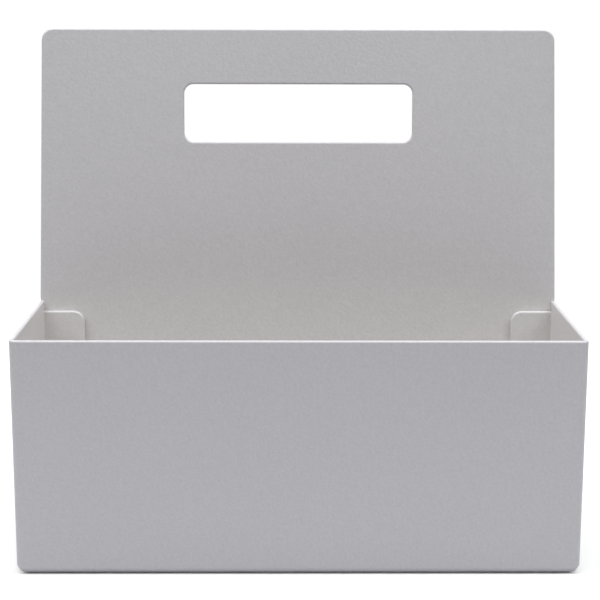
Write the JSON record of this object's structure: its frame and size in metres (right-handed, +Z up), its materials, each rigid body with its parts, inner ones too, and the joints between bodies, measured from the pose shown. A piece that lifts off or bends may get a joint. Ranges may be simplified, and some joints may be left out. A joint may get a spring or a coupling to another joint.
{
  "type": "cable tray",
  "caption": "Open folded-steel desk tray for cables, with a tall leaning back panel and a hand slot near its top.",
  "frame": {"origin": "centre of the bounding box's bottom face, on the desk", "axes": "+X to the right seen from the front, -Y towards the front wall, +Z up"},
  "size_m": [0.25, 0.0998, 0.2358],
  "materials": {
    "powder_coat_grey": "matt, fine powder coat",
    "weld_steel": "fused steel",
    "pad_rubber": "matt"
  },
  "bodies": {
    "root": {"front_wrap": "powder_coat_grey", "back_panel": "powder_coat_grey", "floor_pan": "powder_coat_grey", "tab_spot_welds": "weld_steel", "floor_spot_welds": "weld_steel", "desk_pads": "pad_rubber"}
  },
  "joints": []
}
